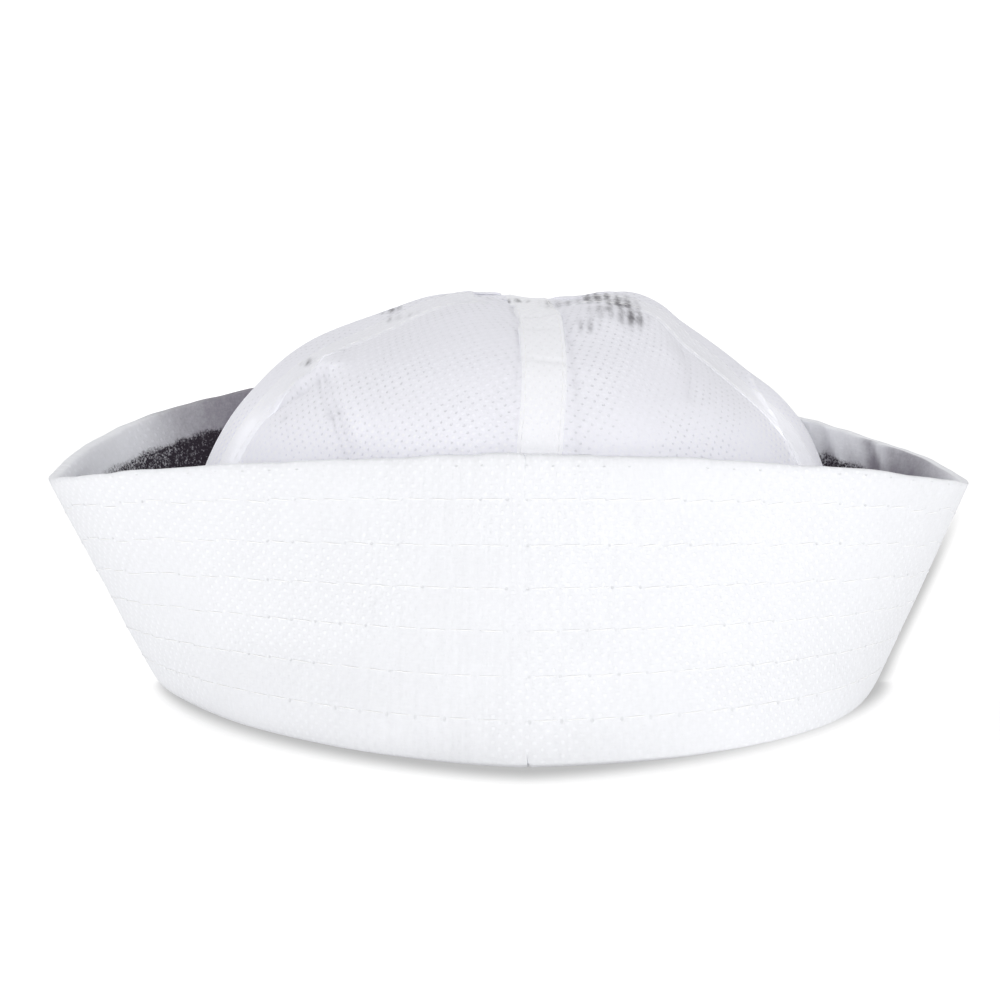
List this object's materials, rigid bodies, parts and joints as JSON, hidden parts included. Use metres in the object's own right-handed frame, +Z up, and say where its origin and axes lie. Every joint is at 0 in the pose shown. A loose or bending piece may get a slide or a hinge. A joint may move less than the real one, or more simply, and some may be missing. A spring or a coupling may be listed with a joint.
{
  "type": "sailor cap",
  "caption": "Soft white cloth sailor cap with a domed panelled crown and a tall turned-up stitched brim, standing on the fold of its brim",
  "frame": {"origin": "middle of the cap's box, on the table that the fold of the brim stands on", "axes": "+X to the wearer's left, the longest way across the cap; -Y the front with the brim's front seam; +Z up out of the crown"},
  "size_m": [0.267, 0.1746, 0.114],
  "materials": {
    "crown_cloth": "white bird's-eye cotton cloth, slightly lavender in shade, matt",
    "strip_cloth": "white cotton cloth over the seams, matt, stitched along both edges",
    "brim_cloth": "white bird's-eye cotton cloth in several layers, matt, with rows of white stitching"
  },
  "bodies": {
    "root": {"crown_panel_1": "crown_cloth", "crown_panel_2": "crown_cloth", "crown_panel_3": "crown_cloth", "crown_panel_4": "crown_cloth", "crown_panel_5": "crown_cloth", "crown_panel_6": "crown_cloth", "seam_strip_center": "strip_cloth", "seam_strip_1": "strip_cloth", "seam_strip_2": "strip_cloth", "seam_strip_3": "strip_cloth", "seam_strip_4": "strip_cloth", "brim_left": "brim_cloth", "brim_right": "brim_cloth"}
  },
  "joints": []
}
